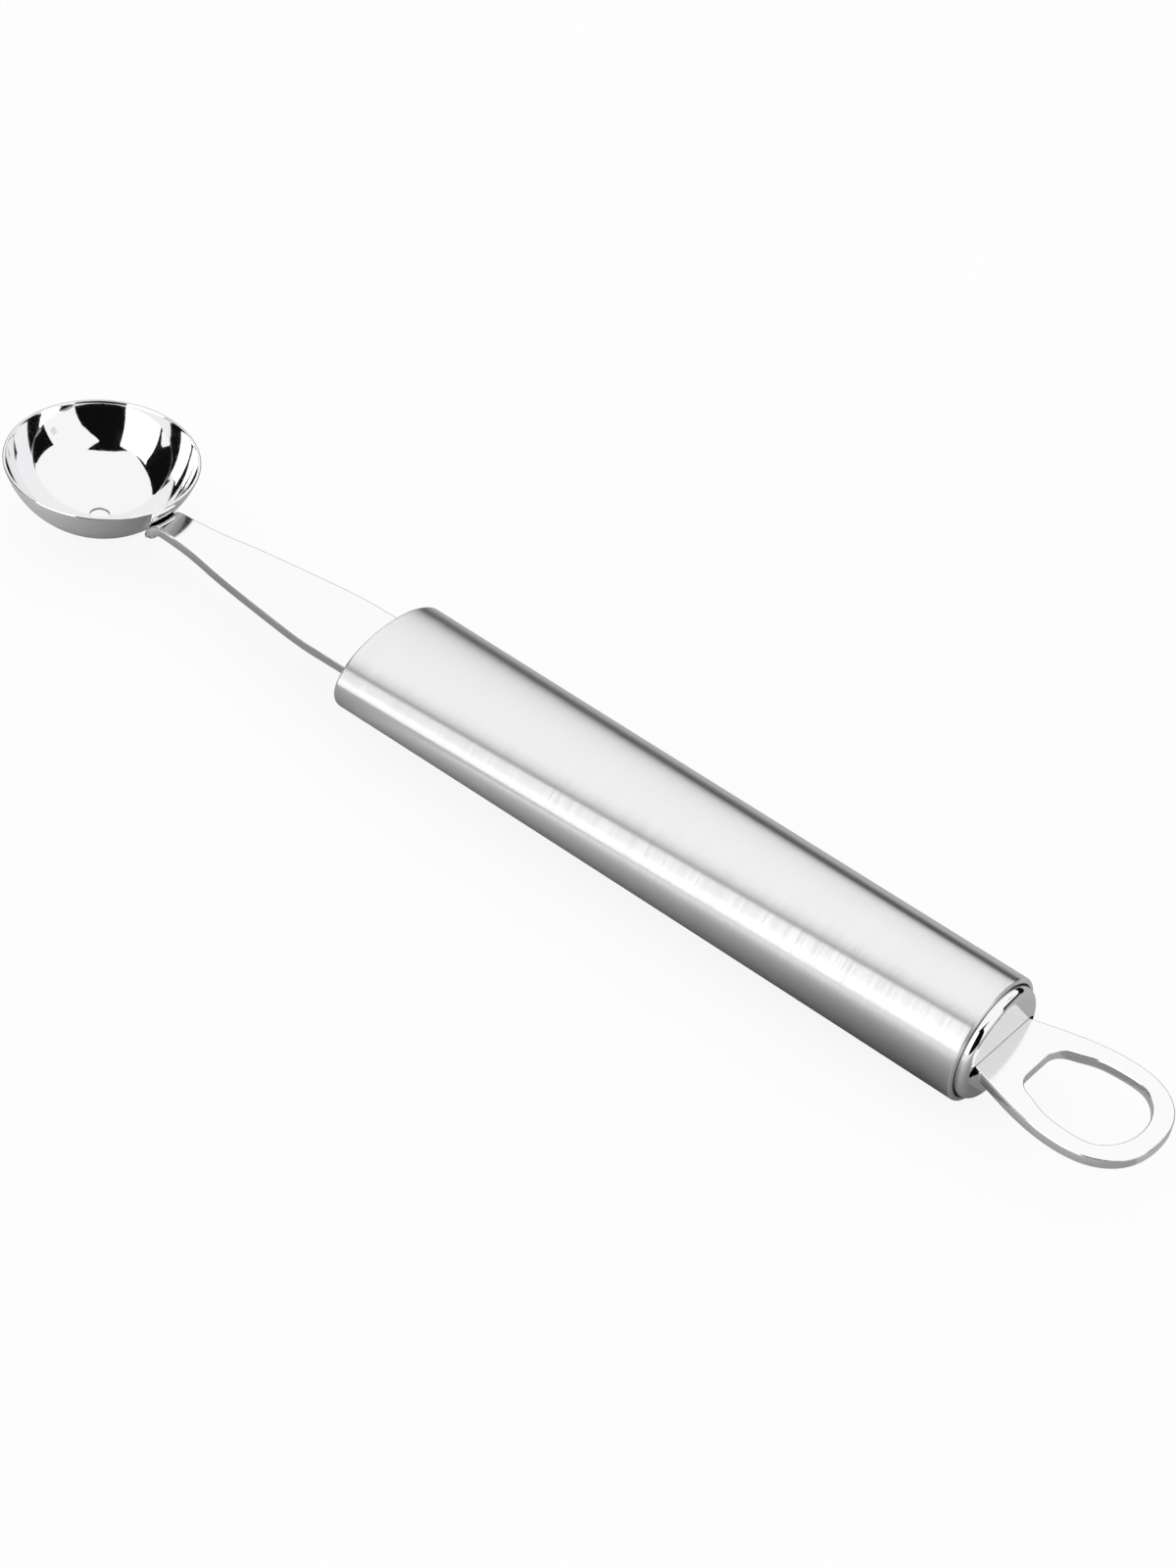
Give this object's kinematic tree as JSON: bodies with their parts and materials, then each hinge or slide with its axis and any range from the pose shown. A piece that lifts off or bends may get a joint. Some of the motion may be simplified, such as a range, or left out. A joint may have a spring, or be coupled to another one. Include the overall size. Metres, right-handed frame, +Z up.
{
  "type": "melon baller",
  "caption": "Steel melon baller: round scoop with a drain hole on a flat shank, tube handle with an oval mouth, end cap and hanging loop.",
  "frame": {"origin": "below the middle of the tool, level with its lowest point, the underside of the tube's rear end", "axes": "+X along the handle from the scoop to the hanging loop, +Z up out of the scoop's open side, +Y across the handle"},
  "size_m": [0.2076, 0.0298, 0.0192],
  "materials": {
    "mirror_steel": "mirror polished",
    "polished_steel": "polished, with a fine grain",
    "satin_steel": "satin, brushed round the tube",
    "plain_steel": "as turned",
    "socket_plastic": "moulded",
    "seal_rubber": "matte"
  },
  "bodies": {
    "root": {"scoop_bowl": "mirror_steel", "shank": "polished_steel", "handle_tube": "satin_steel", "front_plug": "plain_steel", "shank_pin": "plain_steel", "tang_socket": "socket_plastic", "end_cap": "mirror_steel", "cap_seal": "seal_rubber", "hanging_loop": "polished_steel", "loop_pin": "plain_steel"}
  },
  "joints": []
}
